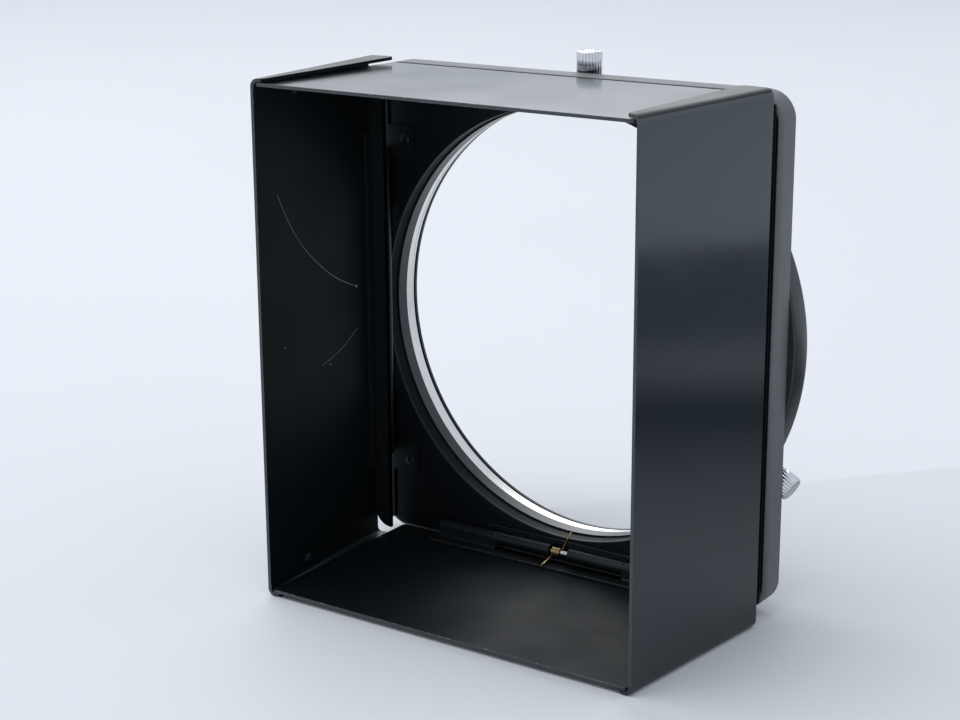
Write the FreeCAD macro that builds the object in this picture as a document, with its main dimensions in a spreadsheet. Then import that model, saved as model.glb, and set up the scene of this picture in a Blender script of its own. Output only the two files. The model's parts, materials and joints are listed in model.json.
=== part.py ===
"""Folding rectangular lens hood with a three-screw clamp ring, as a parametric FreeCAD document.

Frame: the Y axis is the axis of the lens, +Y towards the lens and -Y out of the hood's mouth.
+Z is up. The origin is the centre of the clamp bore, in the plane of the three thumbscrews.
Every size is in millimetres and every angle in degrees.

Each of the four walls hangs on its own hinge. A wall, its leaf and the plate leaf are modelled in
a hinge frame: the pin lies along X through the origin, the wall runs towards -Y and its outer face
looks towards +Z. wall_placement() turns that frame about the lens axis to the wall's own side.
"""
import FreeCAD, Part
import Sketcher
import math
import os

SIZES = {
    # sheet metal
    "sheet": 0.6,                   # thickness of the walls and of the back plate
    "bend_radius": 1.5,             # outside radius of a bend
    # back plate: a shallow pan, open at the back, with a round hole
    "plate_half_width": 42.0,
    "plate_half_height": 45.85,
    "plate_corner": 5.0,
    "plate_front": -7.5,
    "plate_back": -2.5,
    "plate_edge_round": 1.0,
    "hole_radius": 40.4,
    "hole_round": 0.2,
    # clamp ring and the spring band inside it
    "ring_radius": 43.6,
    "ring_front": -2.5,
    "ring_back": 2.3,
    "ring_edge": 0.4,
    "spigot_front": -4.4,
    "spigot_bore": 40.15,
    "spigot_radius": 41.2,
    "skirt_front": -6.85,           # a thin skirt in front of the spigot, nearly to the pan's floor
    "skirt_bore": 40.45,
    "skirt_radius": 41.0,
    "recess_radius": 41.2,
    "recess_front": -1.9,
    "recess_back": 1.65,
    "rear_lip_bore": 40.75,
    "band_bore": 40.65,
    "band_thickness": 0.5,
    "band_front": -1.85,
    "band_back": 1.05,
    "band_gap_angle": 5.0,
    "band_gap_place": -30.0,        # turn about Y that puts the gap between two screws
    # thumbscrews, radial, one at the top and the others 120 degrees away
    "screw_count": 3,
    "tap_radius": 1.25,
    "shank_radius": 1.2,
    "foot_low": 41.65,
    "foot_height": 0.5,
    "foot_radius": 1.15,
    "shank_low": 42.2,
    "shoulder_low": 44.6,
    "shoulder_radius": 1.6,
    "head_low": 45.1,
    "head_top": 49.55,
    "head_radius": 2.3,
    "head_edge": 0.3,
    "knurl_count": 24,
    "knurl_depth": 0.2,
    "knurl_half_width": 0.2,
    # mouth and walls
    "wall_half_height": 47.2,       # side walls, over their flanges
    "side_wall_length": 36.78,
    "side_wall_start": 1.12,        # from the pin to the wall's rear edge
    "side_wall_rise": 2.275,        # from the pin to the wall's inner face
    "side_toe_in": 5.68,
    "flange_rear": 6.2,
    "flange_mouth": 2.6,
    "flange_corner": 1.0,
    "flap_half_width": 37.3,        # top and bottom walls
    "flap_length": 39.65,
    "flap_start": -0.9,            # the wall reaches past its pin, almost to the plate
    "flap_rise": 2.3,
    "flap_tilt": 0.8,
    "flap_corner": 0.6,
    # hinges
    "leaf": 0.45,
    "leaf_reach": 3.6,
    "knuckle_radius": 1.2,
    "side_knuckle_radius": 1.05,
    "knuckle_bore": 0.55,
    "knuckle_gap": 0.1,
    "pin_radius": 0.5,
    "pin_end": 0.3,
    "web_front": 1.2,
    "web_back": 0.2,
    "web_low": 0.6,
    "flap_pin_y": -8.75,
    "flap_pin_z": 43.0,
    "flap_leaf_half": 28.2,
    "flap_leaf_start": 0.875,
    "flap_knuckle_inner": 2.1,
    "flap_knuckle_middle": 14.05,
    "flap_knuckle_outer": 26.9,
    "flap_strip_half": 17.0,
    "flap_strip_low": 2.1,
    "flap_strip_high": 1.35,
    "side_pin_y": -9.5,
    "side_pin_x": 39.25,
    "side_leaf_half": 33.0,
    "side_cheek_half": 45.2,        # the strip that stands in front of the side barrel
    "side_cheek_low": 1.0,
    "side_cheek_corner": 3.25,
    "side_web_half": 0.8,
    "side_knuckle_inner": 5.95,
    "side_knuckle_middle": 18.05,
    "side_knuckle_outer": 30.2,
    "side_strip_half": 44.2,
    "side_strip_edge": 1.7,
    "side_strip_inner": 0.2,
    "ear_depth": 5.6,
    "ear_inner": 28.0,
    "ear_outer": 34.0,
    "rivet_place": 31.6,
    "rivet_drop": 3.85,
    "rivet_radius": 0.7,
    "rivet_hole": 0.75,
    "rivet_head": 1.0,
    "rivet_head_height": 0.3,
    # torsion springs
    "wire_radius": 0.19,
    "coil_radius": 0.74,            # to the middle of the wire
    "coil_left": -0.43,
    "coil_turns": 6,
    "wall_leg_reach": 3.9,
    "plate_leg_start": 0.45,
    "plate_leg_end_x": -1.9,
    "plate_leg_end_y": 0.8,
    "plate_leg_end_z": -4.1,
    # studs pressed into the side walls
    "stud_x": 44.2,
    "stud_y": 25.7,
    "stud_radius": 1.1,
    "stud_height": 0.4,
}

WALL_TURN = {"top": 0.0, "right": 90.0, "bottom": 180.0, "left": 270.0}

doc = FreeCAD.newDocument("LensHood")
sheet = doc.addObject("Spreadsheet::Sheet", "Sizes")
for row, (alias, number) in enumerate(SIZES.items(), start=1):
    sheet.set("A%d" % row, alias)
    sheet.set("B%d" % row, str(number))
    sheet.setAlias("B%d" % row, alias)
doc.recompute()


# ---------------------------------------------------------------- helpers

def value(expression):
    """The number that an expression over the sheet's cells stands for."""
    return float(sheet.evalExpression(cells(expression)))


def cells(expression):
    """An expression in bare cell names, written out as FreeCAD wants it."""
    names = sorted(SIZES, key=len, reverse=True)
    out = ""
    word = ""
    for letter in expression + " ":
        if letter.isalnum() or letter in "_.":
            word += letter
            continue
        out += "Sizes." + word if word in names else word
        out += letter
        word = ""
    return out.strip()


def new_body(label):
    made = doc.addObject("PartDesign::Body", label)
    made.Label = label
    return made


def new_sketch(body, role, offset=None):
    """A sketch on one of the body's own origin planes, moved along the plane's normal by offset."""
    sketch = body.newObject("Sketcher::SketchObject", body.Name + "_sketch")
    plane = [item for item in body.Origin.OriginFeatures if item.Role == role][0]
    sketch.AttachmentSupport = [(plane, "")]
    sketch.MapMode = "FlatFace"
    if offset:
        sketch.setExpression("AttachmentOffset.Base.z", cells(offset))
    return sketch


def pin_point(sketch, geometry, position, across, along):
    """Hold a point of the sketch at a place given by two expressions."""
    for kind, expression in (("DistanceX", across), ("DistanceY", along)):
        constraint = Sketcher.Constraint(kind, -1, 1, geometry, position, value(expression))
        index = sketch.addConstraint(constraint)
        sketch.setExpression("Constraints[%d]" % index, cells(expression))


def add_polygon(sketch, corners):
    """A closed polygon whose corners are pairs of expressions."""
    first = sketch.GeometryCount
    spots = [FreeCAD.Vector(value(a), value(b), 0) for a, b in corners]
    for i, spot in enumerate(spots):
        sketch.addGeometry(Part.LineSegment(spot, spots[(i + 1) % len(spots)]), False)
    for i, (across, along) in enumerate(corners):
        following = first + (i + 1) % len(spots)
        sketch.addConstraint(Sketcher.Constraint("Coincident", first + i, 2, following, 1))
        pin_point(sketch, first + i, 1, across, along)
    return sketch


def add_rectangle(sketch, low, high):
    (x0, y0), (x1, y1) = low, high
    return add_polygon(sketch, [(x0, y0), (x1, y0), (x1, y1), (x0, y1)])


def add_circle(sketch, across, along, radius):
    centre = FreeCAD.Vector(value(across), value(along), 0)
    ring = sketch.addGeometry(Part.Circle(centre, FreeCAD.Vector(0, 0, 1), value(radius)), False)
    pin_point(sketch, ring, 3, across, along)
    index = sketch.addConstraint(Sketcher.Constraint("Radius", ring, value(radius)))
    sketch.setExpression("Constraints[%d]" % index, cells(radius))
    return sketch


def add_feature(body, kind, profile=None, **settings):
    """A feature of the body. A setting given as text is bound as an expression."""
    feature = body.newObject("PartDesign::" + kind, body.Name + "_" + kind.lower())
    if profile is not None:
        feature.Profile = profile
    for name, setting in settings.items():
        if isinstance(setting, str) and name in ("Length", "Radius", "Angle", "Size", "Value"):
            feature.setExpression(name, cells(setting))
        else:
            setattr(feature, name, setting)
    doc.recompute()
    return feature


def pad(body, sketch, length, **settings):
    return add_feature(body, "Pad", sketch, Length=length, **settings)


def cut_through(body, sketch, **settings):
    """A pocket through everything. It stops the build if it takes nothing away."""
    before = body.Shape.Volume
    feature = add_feature(body, "Pocket", sketch, Type="ThroughAll", **settings)
    if body.Shape.Volume >= before:
        raise RuntimeError(body.Label + ": a pocket cut nothing")
    return feature


def edge_names(shape, wanted):
    return ["Edge%d" % i for i, edge in enumerate(shape.Edges, start=1) if wanted(edge)]


def round_edges(body, wanted, radius):
    """Round the edges of the body's last feature that the test picks out."""
    base = body.Tip
    names = edge_names(body.Shape, wanted)
    if not names:
        raise RuntimeError(body.Label + ": no edge to round")
    return add_feature(body, "Fillet", Base=(base, names), Radius=radius)


def is_line_along(edge, axis):
    if not isinstance(edge.Curve, Part.Line):
        return False
    return abs(abs(edge.Curve.Direction.dot(FreeCAD.Vector(*axis))) - 1) < 1e-6


def is_circle(edge, radius, y):
    if not isinstance(edge.Curve, Part.Circle):
        return False
    return abs(edge.Curve.Radius - radius) < 1e-4 and abs(edge.Curve.Center.y - y) < 1e-4


def wall_placement(side, opened=True):
    """Where the hinge frame of one side lies, with the wall at its working angle if opened."""
    if side in ("top", "bottom"):
        spot = FreeCAD.Vector(0, value("flap_pin_y"), value("flap_pin_z"))
        lean = -value("flap_tilt")
    else:
        spot = FreeCAD.Vector(0, value("side_pin_y"), value("side_pin_x"))
        lean = value("side_toe_in")
    turn = FreeCAD.Rotation(FreeCAD.Vector(0, 1, 0), WALL_TURN[side])
    swing = FreeCAD.Rotation(FreeCAD.Vector(1, 0, 0), lean if opened else 0.0)
    return FreeCAD.Placement(turn.multVec(spot), turn.multiply(swing))


def screw_placement(number):
    """The screws share one shape along +Z, turned about the lens axis."""
    angle = 360.0 / value("screw_count") * number
    return FreeCAD.Placement(FreeCAD.Vector(0, 0, 0), FreeCAD.Rotation(FreeCAD.Vector(0, 1, 0), angle))


# ---------------------------------------------------------------- back plate, ring and band

def make_back_plate():
    """A drawn pan with rounded corners and a round hole."""
    body = new_body("back_plate")
    front = value("plate_front")
    outline = new_sketch(body, "XZ_Plane", "-plate_back")
    add_rectangle(outline, ("-plate_half_width", "-plate_half_height"),
                  ("plate_half_width", "plate_half_height"))
    pad(body, outline, "plate_back - plate_front")
    round_edges(body, lambda edge: is_line_along(edge, (0, 1, 0)), "plate_corner")
    round_edges(body, lambda edge: abs(edge.BoundBox.YMax - front) < 1e-4, "plate_edge_round")
    back_face = ["Face%d" % i for i, face in enumerate(body.Shape.Faces, start=1)
                 if abs(face.BoundBox.YMin - value("plate_back")) < 1e-4]
    add_feature(body, "Thickness", Base=(body.Tip, back_face), Value="sheet", Reversed=True)
    hole = add_circle(new_sketch(body, "XZ_Plane"), "0", "0", "hole_radius")
    cut_through(body, hole, Midplane=True)
    round_edges(body, lambda edge: is_circle(edge, value("hole_radius"), front), "hole_round")
    holes = new_sketch(body, "XZ_Plane")
    for across in ("side_pin_x - rivet_drop", "rivet_drop - side_pin_x"):
        for along in ("rivet_place", "-rivet_place"):
            add_circle(holes, across, along, "rivet_hole")
    cut_through(body, holes, Midplane=True)
    return body


def make_clamp_ring():
    """The turned ring behind the plate: a skirt and a spigot inside the pan, a recess, a rear lip."""
    body = new_body("clamp_ring")
    section = new_sketch(body, "XY_Plane")
    add_polygon(section, [
        ("spigot_bore", "spigot_front"),
        ("skirt_bore", "spigot_front"),
        ("skirt_bore", "skirt_front"),
        ("skirt_radius", "skirt_front"),
        ("skirt_radius", "spigot_front"),
        ("spigot_radius", "spigot_front"),
        ("spigot_radius", "ring_front"),
        ("ring_radius - ring_edge", "ring_front"),
        ("ring_radius", "ring_front + ring_edge"),
        ("ring_radius", "ring_back - ring_edge"),
        ("ring_radius - ring_edge", "ring_back"),
        ("rear_lip_bore", "ring_back"),
        ("rear_lip_bore", "recess_back"),
        ("recess_radius", "recess_back"),
        ("recess_radius", "recess_front"),
        ("spigot_bore", "recess_front"),
    ])
    add_feature(body, "Revolution", section, ReferenceAxis=(section, ["V_Axis"]), Angle="360")
    tapped = add_circle(new_sketch(body, "XY_Plane"), "0", "0", "tap_radius")
    hole = cut_through(body, tapped, Reversed=True)
    pattern = add_feature(body, "PolarPattern", Originals=[hole], Angle="360")
    axis = [item for item in body.Origin.OriginFeatures if item.Role == "Y_Axis"][0]
    pattern.Axis = (axis, [""])
    pattern.Occurrences = int(value("screw_count"))
    body.Tip = pattern
    doc.recompute()
    return body


def make_spring_band():
    """The bare split band that closes on the lens barrel."""
    body = new_body("spring_band")
    section = new_sketch(body, "XY_Plane")
    add_rectangle(section, ("band_bore", "band_front"),
                  ("band_bore + band_thickness", "band_back"))
    add_feature(body, "Revolution", section, ReferenceAxis=(section, ["V_Axis"]),
                Angle="360 - band_gap_angle")
    turn = FreeCAD.Rotation(FreeCAD.Vector(0, 1, 0), value("band_gap_place"))
    body.Placement = FreeCAD.Placement(FreeCAD.Vector(0, 0, 0), turn)
    return body


# ---------------------------------------------------------------- thumbscrews

def make_thumb_screw(label, number):
    """A knurled head on a threaded shank, its inner end in the ring's tapped hole."""
    body = new_body(label)
    section = new_sketch(body, "XZ_Plane")
    add_polygon(section, [
        ("0", "shank_low"),
        ("shank_radius", "shank_low"),
        ("shank_radius", "shoulder_low"),
        ("shoulder_radius", "shoulder_low"),
        ("shoulder_radius", "head_low"),
        ("head_radius - head_edge", "head_low"),
        ("head_radius", "head_low + head_edge"),
        ("head_radius", "head_top - head_edge"),
        ("head_radius - head_edge", "head_top"),
        ("0", "head_top"),
    ])
    add_feature(body, "Revolution", section, ReferenceAxis=(section, ["V_Axis"]), Angle="360")
    groove = new_sketch(body, "XY_Plane", "head_low")
    add_polygon(groove, [
        ("head_radius - knurl_depth", "0"),
        ("head_radius + knurl_depth", "-2 * knurl_half_width"),
        ("head_radius + knurl_depth", "2 * knurl_half_width"),
    ])
    knurl = cut_through(body, groove, Reversed=True)
    pattern = add_feature(body, "PolarPattern", Originals=[knurl], Angle="360")
    axis = [item for item in body.Origin.OriginFeatures if item.Role == "Z_Axis"][0]
    pattern.Axis = (axis, [""])
    pattern.Occurrences = int(value("knurl_count"))
    body.Tip = pattern
    doc.recompute()
    body.Placement = screw_placement(number)
    return body


def make_screw_foot(label, number):
    """The small disc that swivels on the screw's end and presses on the band."""
    foot = doc.addObject("Part::Cylinder", label)
    foot.Label = label
    foot.setExpression("Radius", cells("foot_radius"))
    foot.setExpression("Height", cells("foot_height"))
    turned = screw_placement(number)
    raised = FreeCAD.Placement(FreeCAD.Vector(0, 0, value("foot_low")), FreeCAD.Rotation())
    foot.Placement = turned.multiply(raised)
    return foot


# ---------------------------------------------------------------- walls

def make_side_wall(label, side):
    """A flat wall with a flange along its top and bottom edges. The flanges taper to the mouth."""
    body = new_body(label)
    outer = "side_wall_rise + sheet"
    section = new_sketch(body, "XZ_Plane", "side_wall_start")
    lip = outer + " - flange_rear"
    add_polygon(section, [
        ("-wall_half_height", lip),
        ("-wall_half_height", outer),
        ("wall_half_height", outer),
        ("wall_half_height", lip),
        ("wall_half_height - sheet", lip),
        ("wall_half_height - sheet", "side_wall_rise"),
        ("sheet - wall_half_height", "side_wall_rise"),
        ("sheet - wall_half_height", lip),
    ])
    pad(body, section, "side_wall_length")
    top = value(outer)
    inner = value("side_wall_rise")
    edge_x = value("wall_half_height")

    def outer_bend(edge):
        box = edge.BoundBox
        return (is_line_along(edge, (0, 1, 0)) and abs(box.ZMin - top) < 1e-4
                and abs(abs(box.XMin) - edge_x) < 1e-4)

    def inner_bend(edge):
        return is_line_along(edge, (0, 1, 0)) and abs(edge.BoundBox.ZMin - inner) < 1e-4

    round_edges(body, outer_bend, "bend_radius")
    round_edges(body, inner_bend, "bend_radius - sheet")
    taper = new_sketch(body, "YZ_Plane")
    rear = "-side_wall_start"
    mouth = "-side_wall_start - side_wall_length"
    add_polygon(taper, [
        (rear, outer + " - flange_rear"),
        (mouth, outer + " - flange_mouth"),
        (mouth + " - 1", outer + " - flange_mouth"),
        (mouth + " - 1", outer + " - flange_rear - 1"),
        (rear, outer + " - flange_rear - 1"),
    ])
    cut_through(body, taper, Midplane=True)

    def flange_tip(edge):
        return is_line_along(edge, (1, 0, 0)) and edge.BoundBox.ZMax < inner - 1e-3

    round_edges(body, flange_tip, "flange_corner")
    body.Placement = wall_placement(side)
    return body


def make_flap(label, side):
    """The plain top or bottom wall, which rests inside the flanges of the side walls."""
    body = new_body(label)
    outline = new_sketch(body, "XY_Plane", "flap_rise")
    add_rectangle(outline, ("-flap_half_width", "-flap_start - flap_length"),
                  ("flap_half_width", "-flap_start"))
    pad(body, outline, "sheet")
    round_edges(body, lambda edge: is_line_along(edge, (0, 0, 1)), "flap_corner")
    body.Placement = wall_placement(side)
    return body


def make_wall_studs(label, side):
    """Two low studs on the inner face of a side wall, near the mouth."""
    heads = []
    for sign in (1, -1):
        spot = FreeCAD.Vector(sign * value("stud_x"), -value("stud_y"), value("side_wall_rise"))
        down = FreeCAD.Vector(0, 0, -1)
        disc = Part.makeCylinder(value("stud_radius"), value("stud_height"), spot, down)
        low = spot.z - value("stud_height")
        rim = [edge for edge in disc.Edges if edge.Closed and abs(edge.BoundBox.ZMax - low) < 1e-4]
        heads.append(disc.makeFillet(value("stud_height") / 2, rim))
    studs = doc.addObject("Part::Feature", label)
    studs.Label = label
    studs.Shape = Part.makeCompound(heads)
    studs.Placement = wall_placement(side)
    return studs


# ---------------------------------------------------------------- hinges

def add_knuckles(body, ranges, radius):
    """Solid knuckles round the pin. Each range is a pair of expressions along X."""
    for low, high in ranges:
        disc = add_circle(new_sketch(body, "YZ_Plane", low), "0", "0", radius)
        pad(body, disc, "(%s) - (%s)" % (high, low))


def add_webs(body, ranges, corners):
    """The stretch of leaf that joins each knuckle to the flat of its leaf."""
    for low, high in ranges:
        web = add_polygon(new_sketch(body, "YZ_Plane", low), corners)
        pad(body, web, "(%s) - (%s)" % (high, low))


def bore_knuckles(body):
    bore = add_circle(new_sketch(body, "YZ_Plane"), "0", "0", "knuckle_bore")
    cut_through(body, bore, Midplane=True)


def mirrored(low, high):
    return [(low, high), ("-(%s)" % high, "-(%s)" % low)]


def add_wall_flat(body, rise, start, half):
    """The flat of a moving leaf, on the wall's inner face."""
    flat = new_sketch(body, "XY_Plane", rise + " - leaf")
    add_rectangle(flat, ("-" + half, "-leaf_reach"), (half, "-" + start))
    pad(body, flat, "leaf")


def make_flap_wall_leaf(label, side, ranges):
    """The moving leaf of the top or bottom hinge, with webs up to its knuckles."""
    body = new_body(label)
    add_wall_flat(body, "flap_rise", "flap_leaf_start", "flap_leaf_half")
    add_webs(body, ranges, [
        ("-web_front - leaf", "flap_rise - leaf"),
        ("-web_front", "web_low"),
        ("-web_back", "web_low"),
        ("-web_back - leaf", "flap_rise - leaf / 2"),
        ("-web_front - leaf", "flap_rise - leaf / 2"),
    ])
    add_knuckles(body, ranges, "knuckle_radius")
    bore_knuckles(body)
    body.Placement = wall_placement(side)
    return body


def make_side_wall_leaf(label, side, ranges):
    """The moving leaf of a side hinge, bent to an L whose cheek stands in front of the barrel."""
    body = new_body(label)
    cheek = new_sketch(body, "XZ_Plane", "side_wall_start")
    add_rectangle(cheek, ("-side_cheek_half", "-side_cheek_low"),
                  ("side_cheek_half", "side_wall_rise"))
    pad(body, cheek, "leaf")
    top = value("side_wall_rise")
    round_edges(body, lambda edge: is_line_along(edge, (0, 1, 0))
                and abs(edge.BoundBox.ZMin - top) < 1e-4, "side_cheek_corner")
    add_wall_flat(body, "side_wall_rise", "side_wall_start", "side_leaf_half")
    add_webs(body, ranges, [
        ("-side_wall_start", "-side_web_half"),
        ("-web_low", "-side_web_half"),
        ("-web_low", "side_web_half"),
        ("-side_wall_start", "side_web_half"),
    ])
    add_knuckles(body, ranges, "side_knuckle_radius")
    bore_knuckles(body)
    body.Placement = wall_placement(side)
    return body


def make_flap_plate_leaf(label, side):
    """The fixed leaf of the top or bottom hinge, notched where the spring's coil sits."""
    body = new_body(label)
    near = "flap_pin_y - plate_front"
    flat = new_sketch(body, "XZ_Plane", near)
    add_polygon(flat, [
        ("-flap_strip_half", "-flap_strip_low"),
        ("flap_strip_half", "-flap_strip_low"),
        ("flap_strip_half", "-flap_strip_high"),
        ("flap_knuckle_middle - knuckle_gap", "-flap_strip_high"),
        ("flap_knuckle_middle - knuckle_gap", "0.3"),
        ("flap_knuckle_inner", "0.3"),
        ("flap_knuckle_inner", "-flap_strip_high"),
        ("-flap_knuckle_inner", "-flap_strip_high"),
        ("-flap_knuckle_inner", "0.3"),
        ("knuckle_gap - flap_knuckle_middle", "0.3"),
        ("knuckle_gap - flap_knuckle_middle", "-flap_strip_high"),
        ("-flap_strip_half", "-flap_strip_high"),
    ])
    pad(body, flat, "leaf")
    ranges = mirrored("flap_knuckle_inner", "flap_knuckle_middle - knuckle_gap")
    add_knuckles(body, ranges, "knuckle_radius")
    bore_knuckles(body)
    body.Placement = wall_placement(side, opened=False)
    return body


def make_side_plate_leaf(label, side):
    """The fixed leaf of a side hinge: a strip beside the pin with a riveted ear at each end."""
    body = new_body(label)
    near = "side_pin_y - plate_front"
    flat = new_sketch(body, "XZ_Plane", near)
    add_polygon(flat, [
        ("-ear_outer", "-ear_depth"),
        ("-ear_inner", "-ear_depth"),
        ("-ear_inner", "side_strip_inner"),
        ("ear_inner", "side_strip_inner"),
        ("ear_inner", "-ear_depth"),
        ("ear_outer", "-ear_depth"),
        ("ear_outer", "side_strip_inner"),
        ("side_strip_half", "side_strip_inner"),
        ("side_strip_half", "side_strip_edge"),
        ("-side_strip_half", "side_strip_edge"),
        ("-side_strip_half", "side_strip_inner"),
        ("-ear_outer", "side_strip_inner"),
    ])
    pad(body, flat, "leaf")
    holes = new_sketch(body, "XZ_Plane")
    for across in ("rivet_place", "-rivet_place"):
        add_circle(holes, across, "-rivet_drop", "rivet_hole")
    cut_through(body, holes, Midplane=True)
    ranges = mirrored("side_knuckle_middle", "side_knuckle_outer")
    ranges.append(("knuckle_gap - side_knuckle_inner", "side_knuckle_inner - knuckle_gap"))
    face = "plate_front - side_pin_y"
    add_webs(body, ranges, [
        ("web_low", "side_strip_inner"),
        (face + " - leaf / 2", "side_strip_inner"),
        (face + " - leaf / 2", "web_front"),
        ("web_low", "side_web_half"),
    ])
    add_knuckles(body, ranges, "side_knuckle_radius")
    bore_knuckles(body)
    body.Placement = wall_placement(side, opened=False)
    return body


def make_hinge_pin(label, side, outer):
    """A plain wire pin, slightly longer than its row of knuckles."""
    pin = doc.addObject("Part::Cylinder", label)
    pin.Label = label
    pin.setExpression("Radius", cells("pin_radius"))
    pin.setExpression("Height", cells("2 * (%s + pin_end)" % outer))
    start = FreeCAD.Vector(-value(outer + " + pin_end"), 0, 0)
    along_x = FreeCAD.Placement(start, FreeCAD.Rotation(FreeCAD.Vector(0, 1, 0), 90))
    pin.Placement = wall_placement(side, opened=False).multiply(along_x)
    return pin


def make_hinge_rivets(label, side):
    """The rivets through the two ears of a side hinge, with a head on each side of the plate."""
    sheet_front = value("plate_front - side_pin_y")
    ear_front = sheet_front - value("leaf")
    head = value("rivet_head_height")
    along = FreeCAD.Vector(0, 1, 0)
    rivets = []
    for sign in (1, -1):
        x = sign * value("rivet_place")
        z = -value("rivet_drop")
        tip = FreeCAD.Vector(x, ear_front - head, z)
        front = Part.makeCylinder(value("rivet_head"), head, tip, along)
        rim = [edge for edge in front.Edges
               if edge.Closed and abs(edge.BoundBox.YMin - tip.y) < 1e-4]
        front = front.makeFillet(0.7 * head, rim)
        seat = FreeCAD.Vector(x, ear_front, z)
        shank = Part.makeCylinder(value("rivet_radius"), value("leaf + sheet"), seat, along)
        back = FreeCAD.Vector(x, ear_front + value("leaf + sheet"), z)
        tail = Part.makeCylinder(value("rivet_head"), head, back, along)
        rivets.append(front.fuse([shank, tail]).removeSplitter())
    group = doc.addObject("Part::Feature", label)
    group.Label = label
    group.Shape = Part.makeCompound(rivets)
    group.Placement = wall_placement(side, opened=False)
    return group


def make_hinge_spring(label, side):
    """A torsion spring round the pin. One leg lies on the wall leaf and one on the plate."""
    wire = value("wire_radius")
    coil = value("coil_radius")
    left = value("coil_left")
    turns = int(value("coil_turns"))
    pitch = 2 * wire
    bore = coil - wire
    edges = [Part.makeLine((left, 0, bore), (left, 0, coil))]
    for turn in range(turns):
        start = left + turn * pitch
        crest = FreeCAD.Vector(start + wire, 0, coil + wire)
        arc = Part.Arc(FreeCAD.Vector(start, 0, coil), crest, FreeCAD.Vector(start + pitch, 0, coil))
        edges.append(arc.toShape())
    right = left + turns * pitch
    edges.append(Part.makeLine((right, 0, coil), (right, 0, bore)))
    edges.append(Part.makeLine((right, 0, bore), (left, 0, bore)))
    section = Part.Face(Part.Wire(edges))
    body = section.revolve(FreeCAD.Vector(0, 0, 0), FreeCAD.Vector(1, 0, 0), 360)

    def leg(start, end):
        run = end - start
        return Part.makeCylinder(wire, run.Length, start, run)

    tilt = math.radians(value("flap_tilt"))
    reach = value("wall_leg_reach")
    rest = value("flap_rise - leaf") - 1.3 * wire
    wall_end = FreeCAD.Vector(right - wire, -reach, rest + reach * math.sin(tilt))
    wall_leg = leg(FreeCAD.Vector(right - wire, 0, coil), wall_end)
    leave = value("plate_leg_start")
    plate_start = FreeCAD.Vector(left + wire, leave, -math.sqrt(coil ** 2 - leave ** 2))
    plate_end = FreeCAD.Vector(value("plate_leg_end_x"), value("plate_leg_end_y"),
                               value("plate_leg_end_z"))
    plate_leg = leg(plate_start, plate_end)
    spring = doc.addObject("Part::Feature", label)
    spring.Label = label
    spring.Shape = body.fuse([wall_leg, plate_leg]).removeSplitter()
    spring.Placement = wall_placement(side, opened=False)
    return spring


# ---------------------------------------------------------------- the whole hood

def build_parts():
    parts = [make_back_plate(), make_clamp_ring(), make_spring_band()]
    for number, place in enumerate(("top", "right", "left")):
        parts.append(make_thumb_screw("thumb_screw_" + place, number))
        parts.append(make_screw_foot("screw_foot_" + place, number))
    flap_ranges = mirrored("flap_knuckle_middle", "flap_knuckle_outer")
    for side in ("top", "bottom"):
        parts.append(make_flap(side + "_wall", side))
        parts.append(make_flap_wall_leaf(side + "_hinge_wall_leaf", side, flap_ranges))
        parts.append(make_flap_plate_leaf(side + "_hinge_plate_leaf", side))
        parts.append(make_hinge_pin(side + "_hinge_pin", side, "flap_knuckle_outer"))
        parts.append(make_hinge_spring(side + "_hinge_spring", side))
    side_ranges = mirrored("side_knuckle_inner", "side_knuckle_middle - knuckle_gap")
    for side in ("left", "right"):
        parts.append(make_side_wall(side + "_wall", side))
        parts.append(make_side_wall_leaf(side + "_hinge_wall_leaf", side, side_ranges))
        parts.append(make_side_plate_leaf(side + "_hinge_plate_leaf", side))
        parts.append(make_hinge_pin(side + "_hinge_pin", side, "side_knuckle_outer"))
        parts.append(make_hinge_rivets(side + "_hinge_rivets", side))
        parts.append(make_wall_studs(side + "_wall_studs", side))
    return parts


def check_parts(parts):
    """Stop before anything is written if a feature failed or a shape is missing or bad."""
    for item in doc.Objects:
        if "Invalid" in item.State or "Error" in item.State:
            raise RuntimeError(item.Label + " did not recompute")
    for piece in parts:
        if piece.Shape.isNull() or not piece.Shape.isValid() or not piece.Shape.Solids:
            raise RuntimeError(piece.Label + " has no valid solid")


def main():
    parts = build_parts()
    doc.recompute()
    check_parts(parts)
    os.makedirs("parts", exist_ok=True)
    for piece in parts:
        piece.Shape.exportStep("parts/" + piece.Label + ".step")
        print("%-26s %9.2f mm3" % (piece.Label, piece.Shape.Volume))


main()
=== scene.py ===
"""The folding lens hood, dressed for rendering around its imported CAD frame.

Sizes below are in millimetres and turned into metres when a mesh is made. Each hinged wall and
its hinge are built in a hinge frame: the pin lies along X through the origin, the wall runs
towards -Y and its outer face looks towards +Z. hinge_frame() turns that frame to its own side.
"""
import json
import math

import bmesh
import bpy
from mathutils import Matrix, Vector


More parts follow.
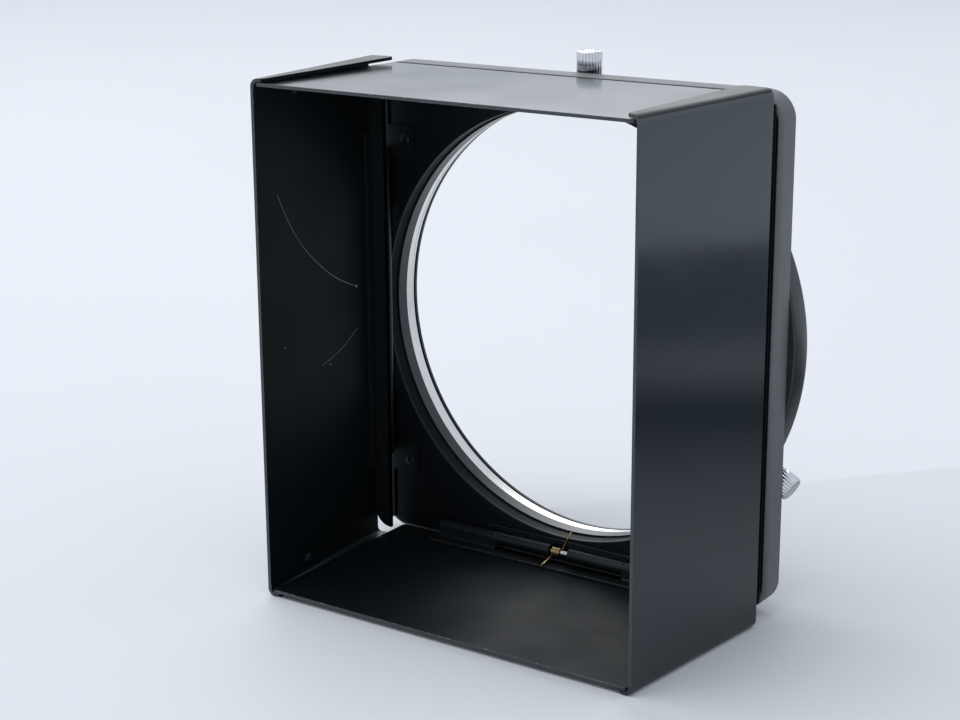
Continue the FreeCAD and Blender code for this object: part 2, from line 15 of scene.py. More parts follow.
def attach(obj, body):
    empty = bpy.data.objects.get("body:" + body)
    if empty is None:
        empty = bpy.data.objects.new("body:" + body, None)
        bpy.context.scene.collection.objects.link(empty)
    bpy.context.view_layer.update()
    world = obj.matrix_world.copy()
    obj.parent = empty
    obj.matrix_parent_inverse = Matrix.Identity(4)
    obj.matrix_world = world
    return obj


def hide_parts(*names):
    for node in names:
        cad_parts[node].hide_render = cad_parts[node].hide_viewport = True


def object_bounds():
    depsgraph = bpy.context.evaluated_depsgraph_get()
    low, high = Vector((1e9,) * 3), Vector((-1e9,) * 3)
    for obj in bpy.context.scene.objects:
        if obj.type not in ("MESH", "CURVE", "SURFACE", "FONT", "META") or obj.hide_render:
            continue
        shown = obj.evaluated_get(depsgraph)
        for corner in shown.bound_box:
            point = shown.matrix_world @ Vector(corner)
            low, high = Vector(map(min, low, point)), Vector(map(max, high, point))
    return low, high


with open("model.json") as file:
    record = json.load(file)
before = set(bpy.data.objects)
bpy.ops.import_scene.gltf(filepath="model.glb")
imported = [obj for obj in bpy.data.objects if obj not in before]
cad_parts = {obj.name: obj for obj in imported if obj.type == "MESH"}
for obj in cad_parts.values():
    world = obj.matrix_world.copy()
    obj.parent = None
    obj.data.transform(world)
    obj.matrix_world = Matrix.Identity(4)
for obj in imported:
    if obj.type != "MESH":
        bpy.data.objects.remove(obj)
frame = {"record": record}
cad_low, cad_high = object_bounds()

MM = 0.001
JOINTS = {joint["name"]: joint for joint in frame["record"]["behaviour"]["joints"]}


# ---------------------------------------------------------------- camera

CAMERA_PLACE = (0.1863, -0.3008, 0.0915)
CAMERA_AZIMUTH = 34.98
CAMERA_ELEVATION = 15.66
CAMERA_ROLL = -0.32
CAMERA_LENS = 74.13


def make_camera():
    """The photograph's camera, solved from the hood's corners and the circle of its ring."""
    az, el, roll = (math.radians(a) for a in (CAMERA_AZIMUTH, CAMERA_ELEVATION, CAMERA_ROLL))
    back = Vector((math.sin(az) * math.cos(el), -math.cos(az) * math.cos(el), math.sin(el)))
    right = Vector((math.cos(az), math.sin(az), 0.0))
    up = back.cross(right)
    rolled_right = right * math.cos(roll) + up * math.sin(roll)
    rolled_up = up * math.cos(roll) - right * math.sin(roll)
    camera = bpy.data.objects.new("camera", bpy.data.cameras.new("camera"))
    bpy.context.scene.collection.objects.link(camera)
    axes = Matrix((rolled_right, rolled_up, back)).transposed().to_4x4()
    camera.matrix_world = Matrix.Translation(CAMERA_PLACE) @ axes
    camera.data.lens = CAMERA_LENS
    camera.data.sensor_width = 36.0
    camera.data.clip_start = 0.01
    camera.data.clip_end = 50.0
    bpy.context.scene.camera = camera


make_camera()


# ---------------------------------------------------------------- materials

class Shader:
    """A thin wrapper round a material's node tree, so that recipes read in order."""

    def __init__(self, name):
        self.material = bpy.data.materials.new(name)
        self.material.use_nodes = True
        self.tree = self.material.node_tree
        self.surface = self.tree.nodes["Principled BSDF"]

    def node(self, kind, **settings):
        made = self.tree.nodes.new(kind)
        for key, setting in settings.items():
            setattr(made, key, setting)
        return made

    def link(self, source, target):
        self.tree.links.new(source, target)

    def set(self, **sockets):
        for key, number in sockets.items():
            self.surface.inputs[key.replace("_", " ")].default_value = number

    def place(self):
        return self.node("ShaderNodeTexCoord").outputs["Object"]

    def noise(self, scale, detail=2.0, rough=0.5, stretch=None):
        """Noise in the piece's own coordinates. Scale is in cycles per metre."""
        mapping = self.node("ShaderNodeMapping")
        self.link(self.place(), mapping.inputs["Vector"])
        if stretch:
            mapping.inputs["Scale"].default_value = stretch
        made = self.node("ShaderNodeTexNoise")
        made.inputs["Scale"].default_value = scale
        made.inputs["Detail"].default_value = detail
        made.inputs["Roughness"].default_value = rough
        self.link(mapping.outputs["Vector"], made.inputs["Vector"])
        return made.outputs["Fac"]

    def ramp(self, source, low, high, out_low=0.0, out_high=1.0):
        made = self.node("ShaderNodeMapRange")
        made.inputs["From Min"].default_value = low
        made.inputs["From Max"].default_value = high
        made.inputs["To Min"].default_value = out_low
        made.inputs["To Max"].default_value = out_high
        self.link(source, made.inputs["Value"])
        return made.outputs["Result"]

    def times(self, source, factor):
        made = self.node("ShaderNodeMath", operation="MULTIPLY")
        self.link(source, made.inputs[0])
        made.inputs[1].default_value = factor
        return made.outputs["Value"]

    def mix(self, factor, first, second):
        """The first colour where the factor is 0 and the second where it is 1."""
        made = self.node("ShaderNodeMix", data_type="RGBA")
        self.link(factor, made.inputs["Factor"])
        for socket, item in ((made.inputs[6], first), (made.inputs[7], second)):
            if isinstance(item, tuple):
                socket.default_value = (*item, 1.0)
            else:
                self.link(item, socket)
        return made.outputs[2]

    def colour(self, source):
        self.link(source, self.surface.inputs["Base Color"])

    def roughness(self, source):
        self.link(source, self.surface.inputs["Roughness"])

    def bump(self, height, strength, distance):
        made = self.node("ShaderNodeBump")
        made.inputs["Strength"].default_value = strength
        made.inputs["Distance"].default_value = distance
        self.link(height, made.inputs["Height"])
        self.link(made.outputs["Normal"], self.surface.inputs["Normal"])


def enamel(name, colour, rough, peel=0.12, dust=0.35, gloss=0.5):
    """Black baked enamel: a faint orange peel, a little dust and uneven gloss."""
    shader = Shader(name)
    shader.set(IOR=1.6, Specular_IOR_Level=gloss, Specular_Tint=(0.84, 0.95, 1.0, 1.0))
    speck = shader.ramp(shader.noise(2600.0, 3.0, 0.6), 0.70, 0.78)
    light = tuple(c + 0.05 * dust for c in colour)
    tone = shader.ramp(shader.noise(35.0, 3.0), 0.35, 0.7)
    darker = tuple(0.8 * c for c in colour)
    shader.colour(shader.mix(speck, shader.mix(tone, darker, colour), light))
    shader.roughness(shader.ramp(shader.noise(60.0, 4.0), 0.3, 0.75, rough * 0.85, rough * 1.2))
    shader.bump(shader.noise(1100.0, 2.0), peel, 0.00002)
    return shader.material


def worn_edge(name):
    """The thin edge of a painted sheet, rubbed and speckled with bare metal."""
    shader = Shader(name)
    bare = shader.ramp(shader.noise(1500.0, 4.0, 0.65), 0.56, 0.66)
    shader.colour(shader.mix(bare, (0.035, 0.037, 0.040), (0.30, 0.28, 0.28)))
    shader.link(shader.times(bare, 0.7), shader.surface.inputs["Metallic"])
    shader.roughness(shader.ramp(shader.noise(900.0, 3.0), 0.3, 0.7, 0.28, 0.5))
    shader.bump(shader.noise(2500.0, 3.0), 0.3, 0.00003)
    return shader.material


def metal(name, colour, rough, stretch=(1.0, 1.0, 1.0), scale=1500.0, marks=0.15):
    """A bare metal with turning or drawing marks along the unstretched axes."""
    shader = Shader(name)
    shader.set(Metallic=1.0)
    line = shader.noise(scale, 3.0, 0.6, stretch)
    darker = tuple(0.86 * c for c in colour)
    shader.colour(shader.mix(shader.ramp(line, 0.3, 0.7), darker, colour))
    shader.roughness(shader.ramp(line, 0.25, 0.75, rough * 0.7, rough * 1.4))
    shader.bump(line, marks, 0.00002)
    return shader.material


ENAMEL = enamel("black_enamel", (0.007, 0.012, 0.015), 0.13, gloss=0.75)
ENAMEL_INSIDE = enamel("black_enamel_inside", (0.0036, 0.0066, 0.0084), 0.46, gloss=0.05)
# Matt black for the painted shadow line at the flaps' rear edges.
PAINTED_SHADOW_LINE = enamel("painted_shadow_line", (0.004, 0.004, 0.005), 0.9, dust=0.0, gloss=0.0)
ENAMEL_LIP = enamel("black_enamel_lip", (0.018, 0.020, 0.022), 0.38, gloss=0.17)
ENAMEL_PLATE = enamel("black_enamel_plate", (0.004, 0.006, 0.008), 0.4, gloss=0.15)
# The rim's grey base colour is painted sheen of the lit rim, with dust specks.
ENAMEL_RIM_PAINTED_SHEEN = enamel("black_enamel_rim_painted_sheen", (0.130, 0.132, 0.136), 0.5, peel=0.3, dust=0.6,
                    gloss=0.6)
ENAMEL_LEAF = enamel("black_enamel_leaf", (0.006, 0.008, 0.009), 0.38, peel=0.3, dust=0.6,
                     gloss=0.25)
RING_BLACK = enamel("ring_black", (0.010, 0.011, 0.012), 0.28)
EDGE = worn_edge("worn_edge")
CHROME = metal("chrome", (0.80, 0.81, 0.83), 0.07, scale=900.0, marks=0.03)
BAND = metal("bright_band", (0.88, 0.88, 0.86), 0.22, stretch=(0.02, 1.0, 0.02), scale=6000.0)
BRASS = metal("brass", (0.74, 0.52, 0.24), 0.25)
SPRING = metal("spring_brass", (0.62, 0.46, 0.22), 0.22)
RUBBED = metal("rubbed_enamel", (0.30, 0.31, 0.30), 0.45)
STEEL = metal("steel", (0.62, 0.62, 0.62), 0.25, stretch=(0.05, 1.0, 1.0))


# ---------------------------------------------------------------- mesh helpers

def hinge_frame(joint, turn, lean=0.0):
    """The hinge frame of one side, at the place of its joint, in metres."""
    place = Matrix.Translation(JOINTS[joint]["pos_m"])
    side = Matrix.Rotation(math.radians(turn), 4, "Y")
    return place @ side @ Matrix.Rotation(math.radians(lean), 4, "X")


def make_piece(name, body, mesh_parts, materials, place=Matrix(), nodes=(),
               bevel=None, sharp=30.0, edge_material=None, paint=None):
    """One object from a list of (vertices in mm, faces), riding on a body. The function called
    paint gives the number of a face's material, from its middle in mm and its normal."""
    mesh = bpy.data.meshes.new(name)
    verts, faces = [], []
    for part_verts, part_faces in mesh_parts:
        first = len(verts)
        verts += [tuple(MM * c for c in v) for v in part_verts]
        faces += [tuple(first + i for i in f) for f in part_faces]
    mesh.from_pydata(verts, [], faces)
    tidy = bmesh.new()
    tidy.from_mesh(mesh)
    bmesh.ops.remove_doubles(tidy, verts=tidy.verts, dist=1e-8)
    bmesh.ops.recalc_face_normals(tidy, faces=tidy.faces)
    tidy.to_mesh(mesh)
    tidy.free()
    for material in materials:
        mesh.materials.append(material)
    if edge_material:
        mesh.materials.append(edge_material)
    if paint:
        for polygon in mesh.polygons:
            polygon.material_index = int(paint(polygon.center / MM, polygon.normal))
    mesh.shade_smooth()
    mesh.set_sharp_from_angle(angle=math.radians(sharp))
    piece = bpy.data.objects.new(name, mesh)
    bpy.context.scene.collection.objects.link(piece)
    piece.matrix_world = place
    if bevel:
        modifier = piece.modifiers.new("edges", "BEVEL")
        modifier.width = bevel * MM
        modifier.segments = 2
        modifier.limit_method = "ANGLE"
        modifier.angle_limit = math.radians(sharp)
        modifier.harden_normals = True
        modifier.material = len(materials) if edge_material else -1
    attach(piece, body)
    if nodes:
        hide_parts(*nodes)
    return piece


def loft(rings, closed_ends=True, closed_loop=False):
    """Faces between successive rings of equal length. Each ring is a closed loop of points."""
    count = len(rings[0])
    verts = [p for ring in rings for p in ring]
    faces = []
    spans = len(rings) if closed_loop else len(rings) - 1
    for j in range(spans):
        a, b = j * count, ((j + 1) % len(rings)) * count
        for i in range(count):
            k = (i + 1) % count
            faces.append((a + i, a + k, b + k, b + i))
    if closed_ends and not closed_loop:
        faces.append(tuple(range(count)))
        last = (len(rings) - 1) * count
        faces.append(tuple(last + i for i in reversed(range(count))))
    return verts, faces


def strip_loft(rings):
    """Like loft, for rings that are a sheet's outline: outer points, then the inner ones reversed.
    The two ends are closed by quads across the sheet."""
    verts, faces = loft(rings, closed_ends=False)
    count = len(rings[0])
    half = count // 2
    for first in (0, (len(rings) - 1) * count):
        for i in range(half - 1):
            faces.append((first + i, first + i + 1, first + count - 2 - i, first + count - 1 - i))
    return verts, faces


def sheet_ring(points, thickness):
    """The closed outline of a sheet, from the (point, normal) pairs of its outer side."""
    front = [tuple(p) for p, n in points]
    back = [tuple(p[k] - n[k] * thickness for k in range(2)) for p, n in points]
    return front + back[::-1]


def turned(r, h, angle, axis):
    """A point of a (radius, height) profile after a turn round the axis."""
    if axis == "Z":
        return (r * math.cos(angle), r * math.sin(angle), h)
    if axis == "Y":
        return (r * math.sin(angle), h, r * math.cos(angle))
    return (h, r * math.cos(angle), r * math.sin(angle))


def lathe(profile, steps, start=0.0, sweep=360.0):
    """Turns a closed profile of (radius, height) round Y, all the way or through a sweep."""
    whole = sweep == 360.0
    rings = []
    for i in range(steps if whole else steps + 1):
        a = math.radians(start + sweep * i / steps)
        rings.append([turned(r, h, a, "Y") for r, h in profile])
    return loft(rings, closed_loop=whole)


def solid_of_turn(profile, steps, axis="Z"):
    """Turns an open profile, from one pole on the axis to the other, into a closed solid."""
    inner = profile[1:-1]
    rings = []
    for i in range(steps):
        a = 2 * math.pi * i / steps
        rings.append([turned(r, h, a, axis) for r, h in inner])
    count = len(inner)
    verts = [p for ring in rings for p in ring]
    faces = []
    for i in range(steps):
        a, b = i * count, ((i + 1) % steps) * count
        for k in range(count - 1):
            faces.append((a + k, b + k, b + k + 1, a + k + 1))
    low, high = len(verts), len(verts) + 1
    verts += [turned(0.0, profile[0][1], 0.0, axis), turned(0.0, profile[-1][1], 0.0, axis)]
    for i in range(steps):
        a, b = i * count, ((i + 1) % steps) * count
        faces.append((low, b, a))
        faces.append((high, a + count - 1, b + count - 1))
    return verts, faces


def arc(centre, radius, start, end, steps):
    """Points of an arc in a plane, angles in degrees."""
    out = []
    for i in range(steps + 1):
        a = math.radians(start + (end - start) * i / steps)
        out.append((centre[0] + radius * math.cos(a), centre[1] + radius * math.sin(a)))
    return out


def prism(outline, low, high, axis):
    """A flat outline of (a, b) raised from low to high along X, Y or Z."""
    def spot(a, b, h):
        return {"X": (h, a, b), "Y": (a, h, b), "Z": (a, b, h)}[axis]
    return loft([[spot(a, b, low) for a, b in outline], [spot(a, b, high) for a, b in outline]])


def rounded_rectangle(low, high, radius, steps=6):
    """The outline of a rectangle between two opposite corners, with its corners rounded."""
    (x0, y0), (x1, y1) = low, high
    out = []
    for centre, start in (((x1 - radius, y1 - radius), 0), ((x0 + radius, y1 - radius), 90),
                          ((x0 + radius, y0 + radius), 180), ((x1 - radius, y0 + radius), 270)):
        out += arc(centre, radius, start, start + 90, steps)
    return out


def smooth_path(points, steps=8):
    """A Catmull-Rom line through points of any dimension."""
    out = []
    ends = [points[0]] + list(points) + [points[-1]]
    for i in range(1, len(ends) - 2):
        p0, p1, p2, p3 = (Vector(ends[i + k]) for k in (-1, 0, 1, 2))
        for step in range(steps):
            t = step / steps
            out.append(0.5 * (2 * p1 + (p2 - p0) * t + (2 * p0 - 5 * p1 + 4 * p2 - p3) * t * t
                              + (3 * p1 - p0 - 3 * p2 + p3) * t ** 3))
    out.append(Vector(points[-1]))
    return out


def tube(path, radius, sides):
    """A round wire with rounded ends along a path of 3-D points, carried without twist."""
    path = [Vector(p) for p in path]
    tangents = [(path[min(i + 1, len(path) - 1)] - path[max(i - 1, 0)]).normalized()
                for i in range(len(path))]
    side = tangents[0].orthogonal().normalized()
    rings = []
    for i, (point, tangent) in enumerate(zip(path, tangents)):
        side = (side - tangent * side.dot(tangent)).normalized()
        up = tangent.cross(side)
        rings.append([point + radius * (side * math.cos(2 * math.pi * k / sides)
                                        + up * math.sin(2 * math.pi * k / sides))
                      for k in range(sides)])
    first, last = ([centre + (p - centre) * 0.6 + outward * radius * 0.5 for p in ring]
                   for centre, outward, ring in ((path[0], -tangents[0], rings[0]),
                                                 (path[-1], tangents[-1], rings[-1])))
    rings = [first] + rings + [last]
    return loft([[tuple(p) for p in ring] for ring in rings])


# ---------------------------------------------------------------- sizes, as in the CAD model

SHEET = 0.6
BEND = 1.5
WALL_HALF_HEIGHT = 47.2
SIDE_WALL_LENGTH = 36.78
SIDE_WALL_START = 1.12
SIDE_WALL_RISE = 2.275
SIDE_TOE_IN = 5.68
FLANGE_REAR = 6.2
FLANGE_MOUTH = 2.6
FLANGE_CORNER = 1.0
FLAP_HALF_WIDTH = 37.3
FLAP_LENGTH = 39.65
FLAP_START = -0.9
FLAP_RISE = 2.3
FLAP_TILT = -0.8
FLAP_CORNER = 0.6
# Width of the painted shadow line at a flap's rear edge.
SHADOW_LINE_WIDTH = 1.0
TURN = {"top": 0.0, "right": 90.0, "bottom": 180.0, "left": 270.0}
LEAF = 0.45
FILM = 0.005                        # keeps faces that would coincide apart
KNUCKLE = 1.2
FLAP_PIN_TO_PLATE = 1.25
FLAP_PIN_HALF = 27.2
FLAP_LEAF_HALF = 28.2
FLAP_LEAF_START = 0.95
FLAP_LEAF_END = 3.6
FLAP_MOVING_KNUCKLE = (14.05, 26.9)
FLAP_FIXED_KNUCKLE = (2.1, 13.95)
SIDE_KNUCKLE = 1.05
SIDE_PIN_TO_PLATE = 2.0
SIDE_PIN_HALF = 30.5
SIDE_MOVING_KNUCKLE = (5.95, 17.95)
SIDE_FIXED_KNUCKLE = (18.05, 30.2)
SIDE_MIDDLE_KNUCKLE = (-5.85, 5.85)
CHEEK_HALF = 45.2
CHEEK_LOW = -1.0
CHEEK_CORNER = 3.25
RIVET_PLACE = 31.6
RIVET_DROP = 3.85
RIVET_RADIUS = 1.0
RIVET_HEIGHT = 0.3
STUD_PLACE = 44.2
STUD_FORWARD = 25.7
STUD_RADIUS = 1.1
STUD_HEIGHT = 0.4
PLATE_HALF_WIDTH = 42.0
PLATE_HALF_HEIGHT = 45.85
PLATE_CORNER = 5.0
PLATE_FRONT = -7.5
PLATE_BACK = -2.5
PLATE_EDGE = 1.0
HOLE_RADIUS = 40.4
HOLE_ROUND = 0.2
# The rim's grey enamel, painted sheen, reaches this far inside the outline.
RIM_DEPTH = 0.8                     # how far inside the outline the rim's paint goes
SPIGOT_BORE = 40.15
SPIGOT_RADIUS = 41.2
SPIGOT_FRONT = -4.4
SKIRT_BORE = 40.45
SKIRT_RADIUS = 41.0
SKIRT_FRONT = -6.85
RING_RADIUS = 43.6
RING_BACK = 2.3
RECESS_RADIUS = 41.2
RECESS_FRONT = -1.9
RECESS_BACK = 1.65
REAR_LIP_BORE = 40.75
BAND_BORE = 40.65
BAND_OUTSIDE = 41.15
BAND_FRONT = -1.85
BAND_BACK = 1.05
BAND_GROOVE = 0.4
BAND_START = 60.0                   # degrees, where the band begins, and how far it goes round
BAND_SWEEP = 355.0
SCREWS = ("top", "right", "left")
SCREW_STEP = 120.0                  # degrees from one thumbscrew to the next
TAP_RADIUS = 1.25
THREAD_PITCH = 0.45
THREAD_CREST = 1.2
THREAD_DEPTH = 0.16
FOOT_LOW = 41.65
FOOT_HIGH = 42.15
FOOT_RADIUS = 1.15
SHANK_LOW = 42.2
SHOULDER_LOW = 44.6
SHOULDER_RADIUS = 1.6
HEAD_LOW = 45.1
HEAD_TOP = 49.55
HEAD_RADIUS = 2.3
KNURLS = 24
KNURL_DEPTH = 0.2


# ---------------------------------------------------------------- walls

def stations(start, length, corner):
    """Places along a wall, close together where its flange corners are rounded."""
    near = [corner * (1 - math.cos(math.pi / 2 * i / 6)) for i in range(7)]
    middle = [corner + (length - 2 * corner) * i / 6 for i in range(1, 6)]
    far = [length - d for d in reversed(near)]
    return [-(start + d) for d in near + middle + far]


def side_wall_rings():
    """Sections of the channel-shaped side wall, from its rear edge to the mouth."""
    outer = SIDE_WALL_RISE + SHEET
    rings = []
    for y in stations(SIDE_WALL_START, SIDE_WALL_LENGTH, FLANGE_CORNER):
        along = (-y - SIDE_WALL_START) / SIDE_WALL_LENGTH
        reach = FLANGE_REAR + (FLANGE_MOUTH - FLANGE_REAR) * along
        from_end = min(along, 1 - along) * SIDE_WALL_LENGTH
        if from_end < FLANGE_CORNER:
            short = FLANGE_CORNER - from_end
            reach -= FLANGE_CORNER - math.sqrt(max(FLANGE_CORNER ** 2 - short ** 2, 0.0))
        line = []
        for sign in (-1, 1):
            bend = []
            for i in range(9):
                a = math.pi / 2 * i / 8
                normal = (sign * math.cos(a), math.sin(a))
                centre = (sign * (WALL_HALF_HEIGHT - BEND), outer - BEND)
                point = tuple(centre[k] + BEND * normal[k] for k in range(2))
                bend.append((point, normal))
            tip = ((sign * WALL_HALF_HEIGHT, outer - reach), (sign, 0.0))
            half = [tip] + bend
            line += half if sign < 0 else half[::-1]
        outline = sheet_ring(line, SHEET)
        rings.append([(x, y, z) for x, z in outline])
    return rings


def faces_inwards(middle, normal):
    """Whether a face of a wall looks into the hood."""
    return normal.z < -0.5


def wall_surface(middle, normal):
    """0 for the outer face of a side wall, 1 for its inside and 2 for its two lips."""
    if abs(normal.x) > 0.6:
        return 2
    return faces_inwards(middle, normal)


def make_side_wall(side):
    """A channel-shaped side wall with its two lips."""
    place = hinge_frame(side + "_wall_swing", TURN[side], SIDE_TOE_IN)
    make_piece(side + "_wall_panel", side + "_wall", [strip_loft(side_wall_rings())],
               [ENAMEL, ENAMEL_INSIDE, ENAMEL_LIP], place, [side + "_wall"],
               bevel=0.09, edge_material=EDGE, paint=wall_surface)


def paint_rear_shadow_line(panel, start):
    """Paints a painted shadow line, matt black, on a flap's outer face from y = start to its rear
    edge.
    """
    mesh = bmesh.new()
    mesh.from_mesh(panel.data)
    everything = mesh.verts[:] + mesh.edges[:] + mesh.faces[:]
    bmesh.ops.bisect_plane(mesh, geom=everything, plane_co=(0, MM * start, 0), plane_no=(0, 1, 0))
    for face in mesh.faces:
        if face.normal.z > 0.5 and face.calc_center_median().y > MM * start:
            face.material_index = 2
    mesh.to_mesh(panel.data)
    mesh.free()


def make_flap(side):
    """The flat top or bottom wall."""
    outline = rounded_rectangle((-FLAP_HALF_WIDTH, -FLAP_START - FLAP_LENGTH),
                                (FLAP_HALF_WIDTH, -FLAP_START), FLAP_CORNER)
    part = prism(outline, FLAP_RISE, FLAP_RISE + SHEET, "Z")
    place = hinge_frame(side + "_wall_fold", TURN[side], FLAP_TILT)
    panel = make_piece(side + "_wall_panel", side + "_wall", [part],
                       [ENAMEL, ENAMEL_INSIDE, PAINTED_SHADOW_LINE], place, [side + "_wall"],
                       bevel=0.09, edge_material=EDGE, paint=faces_inwards)
    # A painted shadow line at the rear edge, where the gap before the plate lies in shade.
    paint_rear_shadow_line(panel, -FLAP_START - SHADOW_LINE_WIDTH)


# ---------------------------------------------------------------- plate, ring and band

def rounded_hit(angle, half_x, half_z, radius):
    """Where a ray from the middle meets a rounded rectangle, and the outward normal there."""
    dx, dz = math.sin(angle), math.cos(angle)
    reach = min(half_x / max(abs(dx), 1e-9), half_z / max(abs(dz), 1e-9))
    x, z = reach * dx, reach * dz
    in_x, in_z = half_x - radius, half_z - radius
    if abs(x) <= in_x:
        return (x, z), (0.0, math.copysign(1.0, z))
    if abs(z) <= in_z:
        return (x, z), (math.copysign(1.0, x), 0.0)
    cx, cz = math.copysign(in_x, x), math.copysign(in_z, z)
    along = dx * cx + dz * cz
    reach = along + math.sqrt(along ** 2 - (cx ** 2 + cz ** 2 - radius ** 2))
    x, z = reach * dx, reach * dz
    return (x, z), ((x - cx) / radius, (z - cz) / radius)


def plate_angles():
    """Even steps round the plate, with closer ones across its four corners."""
    corner = math.atan2(PLATE_HALF_WIDTH, PLATE_HALF_HEIGHT)
    angles = {round(2 * math.pi * i / 288, 6) for i in range(288)}
    for middle in (corner, math.pi - corner, math.pi + corner, 2 * math.pi - corner):
        angles |= {round(middle + 0.006 * i, 6) for i in range(-13, 14)}
    return sorted(angles)


def on_the_rim(middle, normal):
    """Whether a face is on the outside of the pan's rim."""
    across = abs(middle.x) - PLATE_HALF_WIDTH + PLATE_CORNER
    up = abs(middle.z) - PLATE_HALF_HEIGHT + PLATE_CORNER
    inside = PLATE_CORNER - math.hypot(max(across, 0.0), max(up, 0.0)) - min(max(across, up), 0.0)
    return normal.x * middle.x + normal.z * middle.z > 0 and inside < RIM_DEPTH


def make_back_plate():
    """A drawn pan with a round hole."""
    front, back = PLATE_FRONT, PLATE_BACK
    mouth = HOLE_RADIUS + HOLE_ROUND
    turn = front + HOLE_ROUND
    rings = []
    for angle in plate_angles():
        (x, z), (nx, nz) = rounded_hit(angle, PLATE_HALF_WIDTH, PLATE_HALF_HEIGHT, PLATE_CORNER)
        dx, dz = math.sin(angle), math.cos(angle)

        def inset(d, y):
            return (x - nx * d, y, z - nz * d)

        def at_radius(r, y):
            return (r * dx, y, r * dz)

        ring = [inset(0.0, back)]
        for c, h in arc((PLATE_EDGE, front + PLATE_EDGE), PLATE_EDGE, 180, 270, 6):
            ring.append(inset(c, h))
        for r, h in arc((mouth, turn), HOLE_ROUND, 270, 180, 5):
            ring.append(at_radius(r, h))
        ring += [at_radius(HOLE_RADIUS, front + SHEET - 0.05),
                 at_radius(HOLE_RADIUS + 0.05, front + SHEET)]
        for c, h in arc((PLATE_EDGE, front + PLATE_EDGE), PLATE_EDGE - SHEET, 270, 180, 3):
            ring.append(inset(c, h))
        ring.append(inset(SHEET, back))
        rings.append(ring)
    # Faces on the outside of the rim take the grey enamel, painted sheen of the lit rim.
    make_piece("back_plate_pan", "base", [loft(rings, closed_loop=True)],
               [ENAMEL_PLATE, ENAMEL_RIM_PAINTED_SHEEN], nodes=["back_plate"], sharp=40.0,
               paint=on_the_rim)


def cut_with(piece, cutters):
    """Takes closed meshes, given as (vertices in mm, faces), out of a piece."""
    for verts, faces in cutters:
        mesh = bpy.data.meshes.new("cutter")
        mesh.from_pydata([tuple(MM * c for c in v) for v in verts], [], faces)
        cutter = bpy.data.objects.new("cutter", mesh)
        bpy.context.scene.collection.objects.link(cutter)
        modifier = piece.modifiers.new("cut", "BOOLEAN")
        modifier.operation = "DIFFERENCE"
        modifier.solver = "EXACT"
        modifier.object = cutter
        bpy.context.view_layer.update()
        evaluated = piece.evaluated_get(bpy.context.evaluated_depsgraph_get())
        cut = bpy.data.meshes.new_from_object(evaluated)
        piece.modifiers.clear()
        piece.data = cut
        bpy.data.objects.remove(cutter)


def skirt_in_painted_shade(middle, normal):
    """Whether a face of the ring is on its thin skirt, in front of the spigot; the skirt takes the
    darker matt inside enamel as painted shade.
    """
    return middle.y < SPIGOT_FRONT - 0.05


def make_clamp_ring():
    """The turned ring: skirt, spigot, body with chamfered edges, recess for the band, rear lip."""
    chamfer = [(0.45, 0.0), (0.3, 0.03), (0.03, 0.3), (0.0, 0.45)]
    profile = [(SPIGOT_BORE, SPIGOT_FRONT + 0.05), (SPIGOT_BORE + 0.05, SPIGOT_FRONT),
               (SKIRT_BORE, SPIGOT_FRONT), (SKIRT_BORE, SKIRT_FRONT),
               (SKIRT_RADIUS, SKIRT_FRONT), (SKIRT_RADIUS, SPIGOT_FRONT),
               (SPIGOT_RADIUS - 0.1, SPIGOT_FRONT), (SPIGOT_RADIUS, SPIGOT_FRONT + 0.1),
               (SPIGOT_RADIUS, PLATE_BACK)]
    profile += [(RING_RADIUS - a, PLATE_BACK + b) for a, b in chamfer]
    profile += [(RING_RADIUS - a, RING_BACK - b) for a, b in reversed(chamfer)]
    profile += [(REAR_LIP_BORE + 0.1, RING_BACK), (REAR_LIP_BORE, RING_BACK - 0.1),
                (REAR_LIP_BORE, RECESS_BACK), (RECESS_RADIUS, RECESS_BACK),
                (RECESS_RADIUS, RECESS_FRONT), (SPIGOT_BORE, RECESS_FRONT)]
    # The skirt takes the darker matt inside enamel: painted shade in the pan, where the plate
    # shades it.
    ring = make_piece("clamp_ring_turned", "base", [lathe(profile, 240)],
                      [RING_BLACK, ENAMEL_INSIDE], nodes=["clamp_ring"],
                      sharp=35.0, paint=skirt_in_painted_shade)
    low, high = SPIGOT_BORE - 0.15, RING_RADIUS + 0.2
    hole = [(0, low), (TAP_RADIUS, low), (TAP_RADIUS, high - 0.35), (TAP_RADIUS + 0.35, high),
            (0, high)]
    cutters = []
    for number in range(len(SCREWS)):
        turn = Matrix.Rotation(math.radians(SCREW_STEP * number), 3, "Y")
        verts, faces = solid_of_turn(hole, 48)
        cutters.append(([tuple(turn @ Vector(v)) for v in verts], faces))
    cut_with(ring, cutters)
    ring.data.set_sharp_from_angle(angle=math.radians(35))


def make_spring_band():
    """The bright split band, with a fine groove turned round its bore."""
    edge = 0.08
    profile = [(BAND_BORE, BAND_FRONT + 0.1), (BAND_BORE, BAND_GROOVE - 0.08),
               (BAND_BORE + 0.05, BAND_GROOVE - 0.03), (BAND_BORE + 0.05, BAND_GROOVE + 0.03),
               (BAND_BORE, BAND_GROOVE + 0.08), (BAND_BORE, BAND_BACK - edge),
               (BAND_BORE + edge, BAND_BACK), (BAND_OUTSIDE - edge, BAND_BACK),
               (BAND_OUTSIDE, BAND_BACK - edge), (BAND_OUTSIDE, BAND_FRONT + edge),
               (BAND_OUTSIDE - edge, BAND_FRONT), (BAND_BORE + 0.1, BAND_FRONT)]
    make_piece("spring_band_split", "base", [lathe(profile, 236, BAND_START, BAND_SWEEP)],
               [BAND], nodes=["spring_band"], sharp=35.0)


# ---------------------------------------------------------------- thumbscrews

SCREW_STEPS = 240                   # points round every level of a screw


